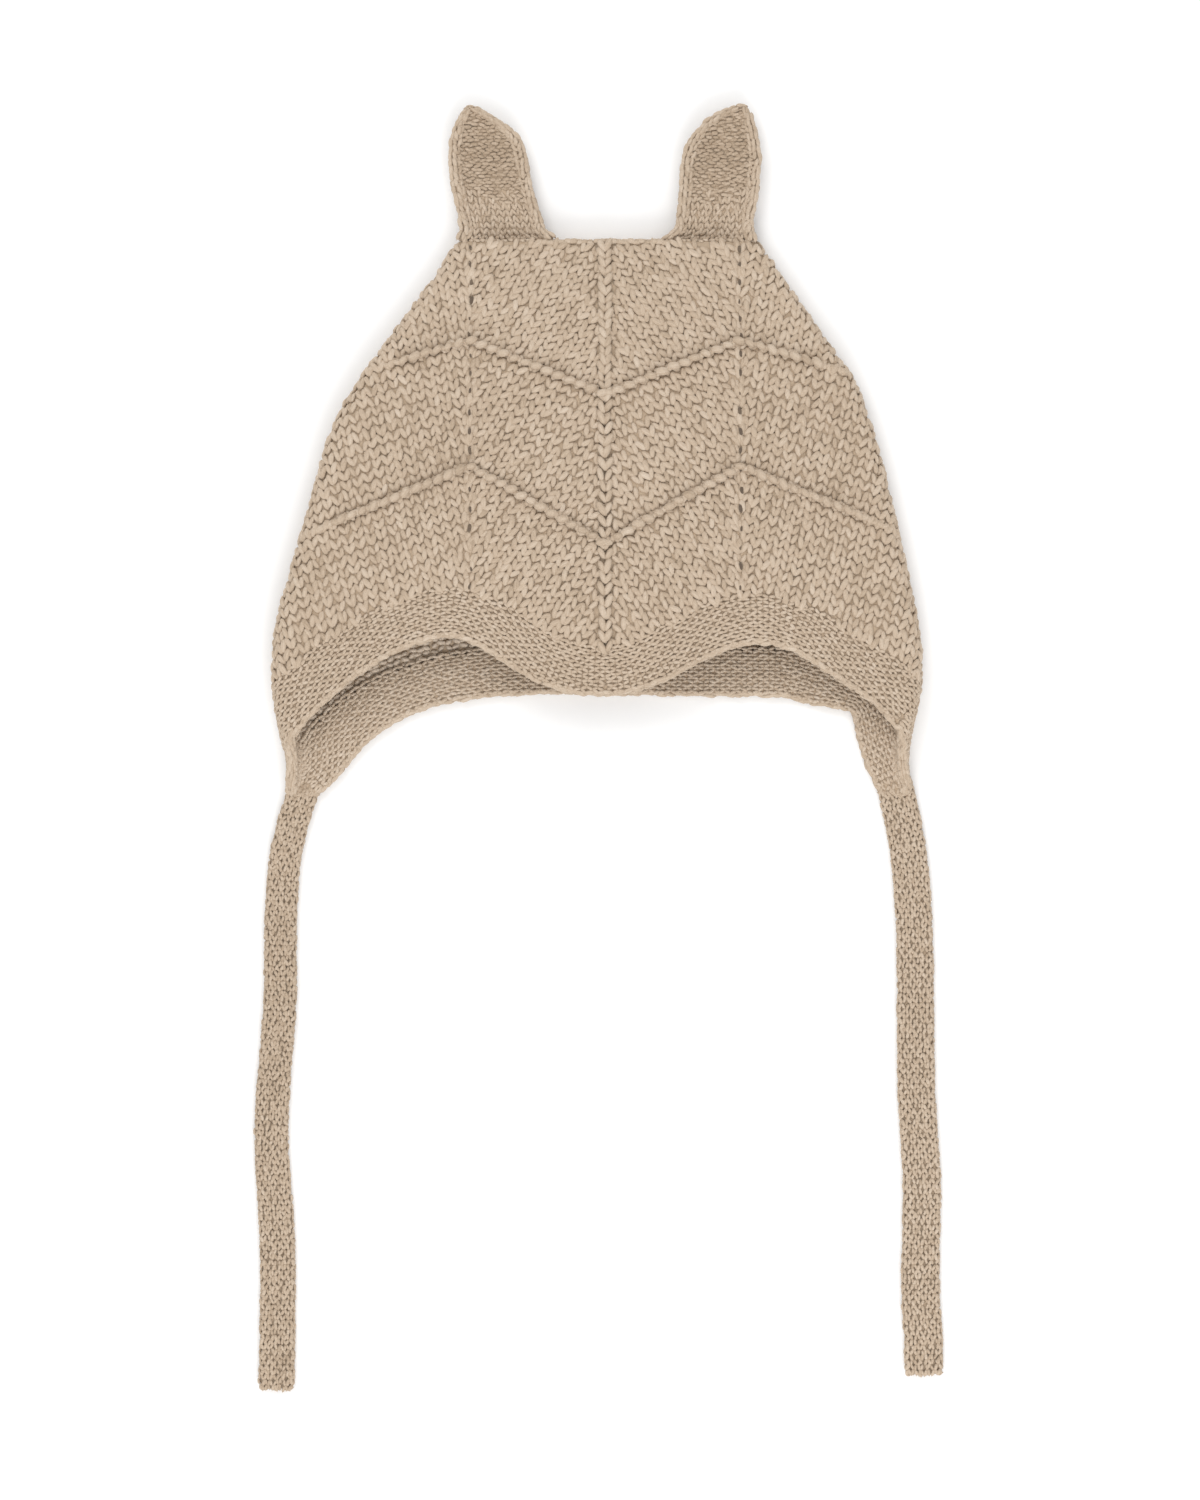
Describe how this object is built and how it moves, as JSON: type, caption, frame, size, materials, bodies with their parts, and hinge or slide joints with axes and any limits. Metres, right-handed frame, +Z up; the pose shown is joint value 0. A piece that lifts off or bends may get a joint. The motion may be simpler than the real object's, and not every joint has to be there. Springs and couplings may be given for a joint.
{
  "type": "knitted baby bonnet with ears",
  "caption": "Knitted wool baby bonnet with a wavy garter border, two cupped ears and two long flat ties, lying flat on its back.",
  "frame": {"origin": "on the table under the back wall, below the centre rib and half way along the crown", "axes": "+X to the right of someone looking down at the front, +Y from the ties to the ears, +Z up from the table"},
  "size_m": [0.216, 0.4016, 0.0197],
  "materials": {
    "stockinette_wool": "soft hand-knitted stockinette, slightly fuzzy",
    "garter_wool": "soft hand-knitted garter stitch, slightly fuzzy",
    "ear_wool": "soft hand-knitted reverse stockinette, slightly fuzzy"
  },
  "bodies": {
    "root": {"crown": "stockinette_wool", "border": "garter_wool", "left_ear": "ear_wool", "right_ear": "ear_wool", "left_tie": "garter_wool", "right_tie": "garter_wool"}
  },
  "joints": []
}
